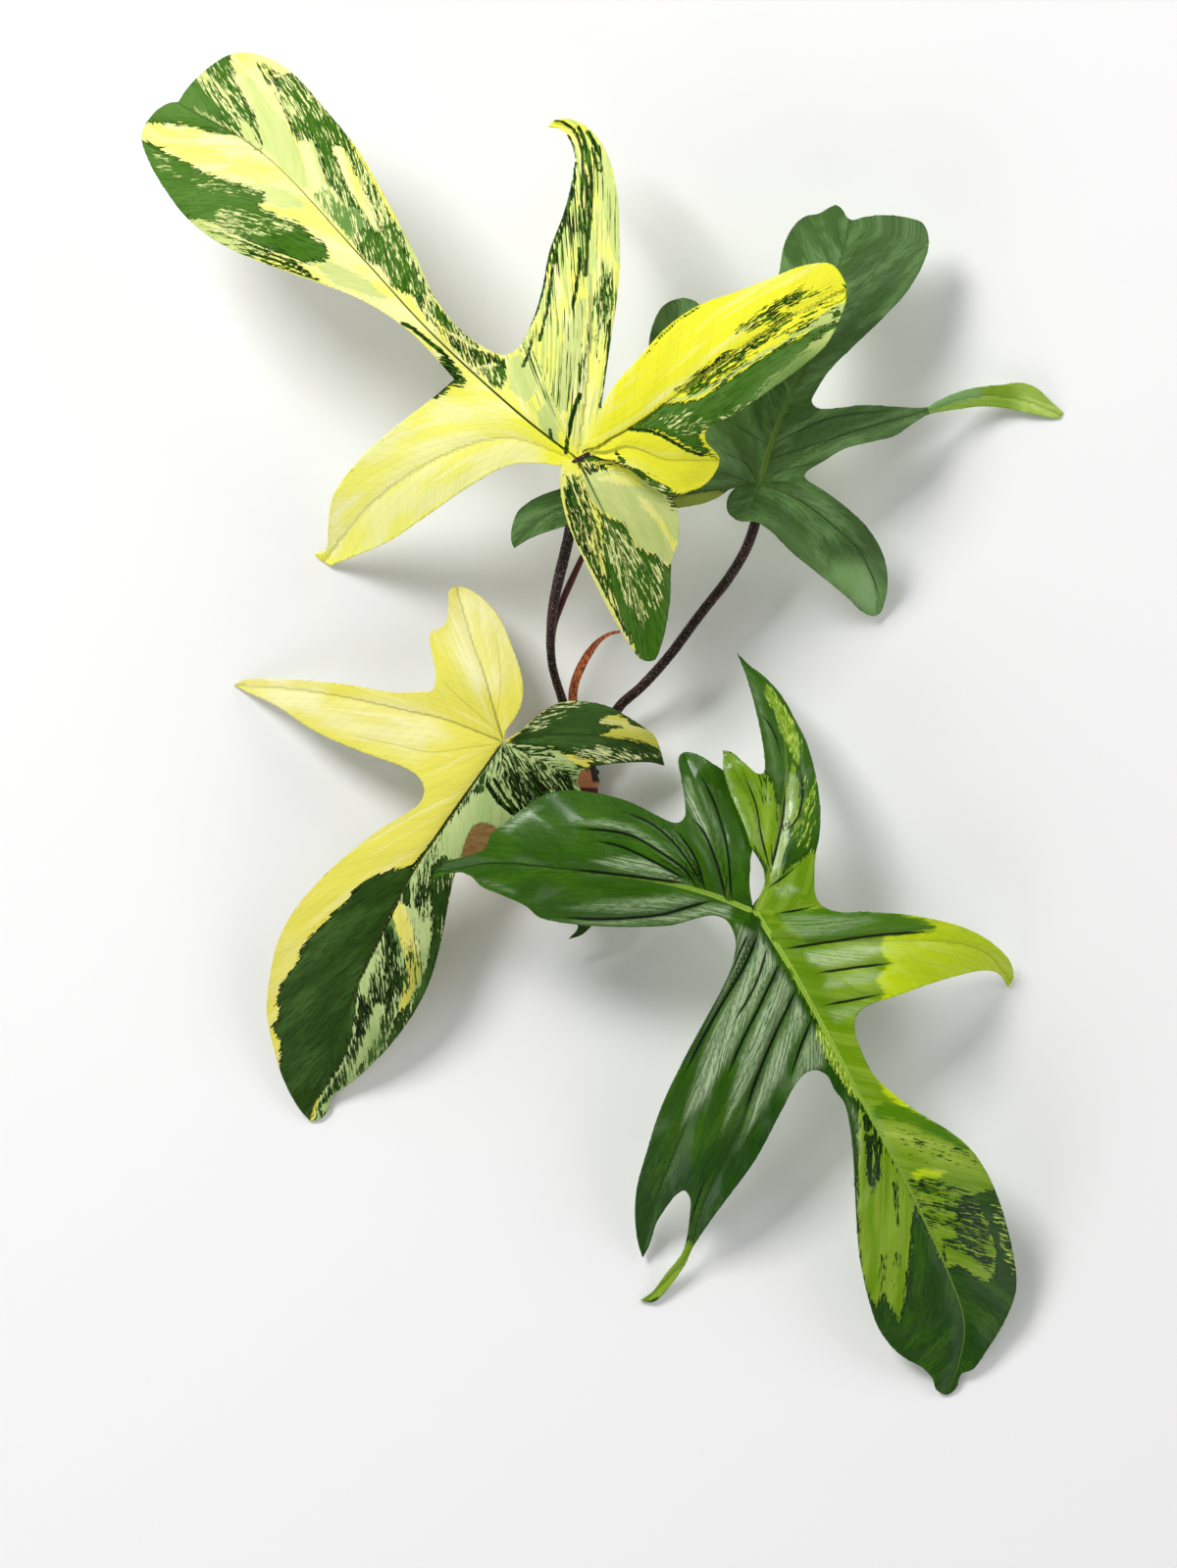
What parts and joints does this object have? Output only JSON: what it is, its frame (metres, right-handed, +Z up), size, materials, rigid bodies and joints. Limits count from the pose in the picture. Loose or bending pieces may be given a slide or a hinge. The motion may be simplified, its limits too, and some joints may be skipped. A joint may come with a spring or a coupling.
{
  "type": "variegated philodendron shoot with lobed leaves",
  "caption": "Cut climbing-plant shoot lying flat: a short rooted stem, warty maroon stalks and large lobed leaf blades splashed with yellow, pale green and dark green.",
  "frame": {"origin": "on the surface the shoot lies on, in the middle of the stem's flat underside", "axes": "+Z up from the surface, +Y along the stem towards its growing tip, +X to the right when looking down"},
  "size_m": [0.31, 0.4498, 0.09],
  "materials": {
    "stem": "dull olive bark with brown rings and pale flecks",
    "stalk": "satin maroon, rough with small warts",
    "yellow_leaf": "satin leaf, bright yellow and cream splashed with green",
    "plain_leaf": "satin leaf, plain dark green",
    "half_yellow_leaf": "satin leaf, half yellow and half marbled green",
    "glossy_leaf": "glossy folded leaf, dark green and lime",
    "dry_sheath": "dull, dry and finely striped, tan to red-brown"
  },
  "bodies": {
    "root": {"stem": "stem", "leaf_upper_left": "yellow_leaf", "leaf_upper_right": "plain_leaf", "leaf_left": "half_yellow_leaf", "leaf_lower_right": "glossy_leaf", "stalk_upper_left": "stalk", "stalk_upper_right": "stalk", "stalk_left": "stalk", "stalk_lower_right": "stalk", "new_leaf_spear": "stalk", "dry_strap_sheath": "dry_sheath", "dry_papery_sheath": "dry_sheath"}
  },
  "joints": []
}
